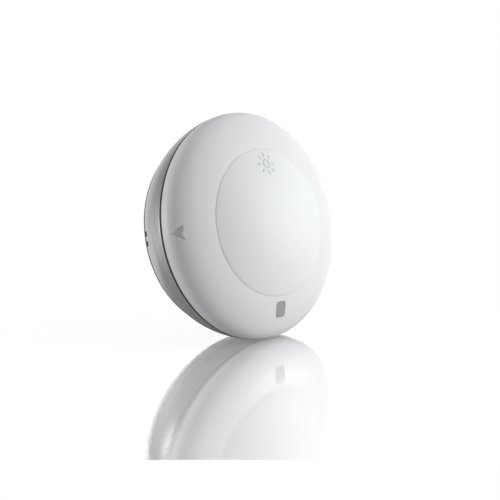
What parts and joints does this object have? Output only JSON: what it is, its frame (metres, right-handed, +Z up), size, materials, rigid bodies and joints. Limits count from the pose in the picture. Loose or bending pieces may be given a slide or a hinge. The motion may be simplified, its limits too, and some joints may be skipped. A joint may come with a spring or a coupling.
{
  "type": "sun sensor",
  "caption": "Round wall-mounted sun sensor with a domed translucent window, rubber-sealed grey housing and a bayonet wall plate that lets go after a short twist.",
  "frame": {"origin": "centre of the wall plate's rear face, where it lies on the wall", "axes": "+Y into the wall, -Y out of the domed front; +Z up to the sun symbol at 12 o'clock; +X to the right seen from the front, so the arrow recess and the tongue are at -X"},
  "size_m": [0.11, 0.0428, 0.11],
  "materials": {
    "white_plastic": "satin, finely textured",
    "window_plastic": "satin translucent",
    "smoked_plastic": "gloss, translucent grey",
    "seal_rubber": "matte",
    "housing_plastic": "satin silver-grey",
    "plate_plastic": "satin",
    "inner_plastic": "satin black",
    "board_laminate": "green solder mask",
    "screw_steel": "zinc plated",
    "spring_steel": "bright",
    "contact_steel": "nickel plated",
    "cell_sleeve": "plain printed sleeve",
    "well_plastic": "gloss white",
    "clear_resin": "clear",
    "button_plastic": "satin light grey",
    "dial_plastic": "satin blue-grey",
    "blue_plastic": "moulded blue",
    "chip_resin": "moulded black",
    "can_metal": "tinned",
    "copper_wire": "plated",
    "led_resin": "yellowish white",
    "pipe_acrylic": "clear, polished"
  },
  "bodies": {
    "wall_bracket": {"wall_plate": "plate_plastic"},
    "tongue": {"release_tongue": "housing_plastic"},
    "button": {"program_button": "button_plastic", "switch_plunger": "chip_resin"},
    "dial": {"threshold_dial": "dial_plastic", "potentiometer_spindle": "button_plastic"},
    "cover": {"front_cover": "white_plastic", "sun_window": "window_plastic", "status_window": "smoked_plastic"},
    "housing": {"rear_housing": "housing_plastic", "cover_seal": "seal_rubber", "clip_springs": "spring_steel", "main_board": "board_laminate", "board_screws": "screw_steel", "battery_holder": "inner_plastic", "battery_upper": "cell_sleeve", "battery_lower": "cell_sleeve", "bridge_contact": "contact_steel", "terminal_contacts": "contact_steel", "photodiode": "chip_resin", "photodiode_lens": "clear_resin", "light_well": "well_plastic", "control_bezel": "inner_plastic", "bezel_screws": "screw_steel", "button_switch": "chip_resin", "potentiometer": "blue_plastic", "microcontroller": "chip_resin", "crystal": "can_metal", "radio_module": "board_laminate", "radio_shield": "can_metal", "buffer_capacitor": "can_metal", "antenna": "copper_wire", "chip_parts": "chip_resin", "status_led": "led_resin", "status_light_pipe": "pipe_acrylic"}
  },
  "joints": [
    {"name": "housing_turn", "type": "hinge", "parent": "wall_bracket", "child": "housing", "pos_m": [0, 0, 0], "axis": [0, -1, 0], "range_deg": [0, 16]},
    {"name": "release_tongue_flex", "type": "hinge", "parent": "housing", "child": "tongue", "pos_m": [-0.04934, -0.0046, 0], "axis": [0, 0, 1], "range_deg": [0, 4.25]},
    {"name": "cover_lift", "type": "slide", "parent": "housing", "child": "cover", "axis": [0, -1, 0], "range_m": [0, 0.05]},
    {"name": "program_button_press", "type": "slide", "parent": "housing", "child": "button", "axis": [0, 1, 0], "range_m": [0, 0.0005], "stiffness_N_per_m": 1500, "springref_m": -0.0002},
    {"name": "threshold_dial_turn", "type": "hinge", "parent": "housing", "child": "dial", "pos_m": [0.01721, 0, 0.02457], "axis": [0, -1, 0], "range_deg": [0, 270]}
  ],
  "couplings": [
    {"joint": "release_tongue_flex", "follows": "housing_turn", "ratio": 0.2628}
  ]
}
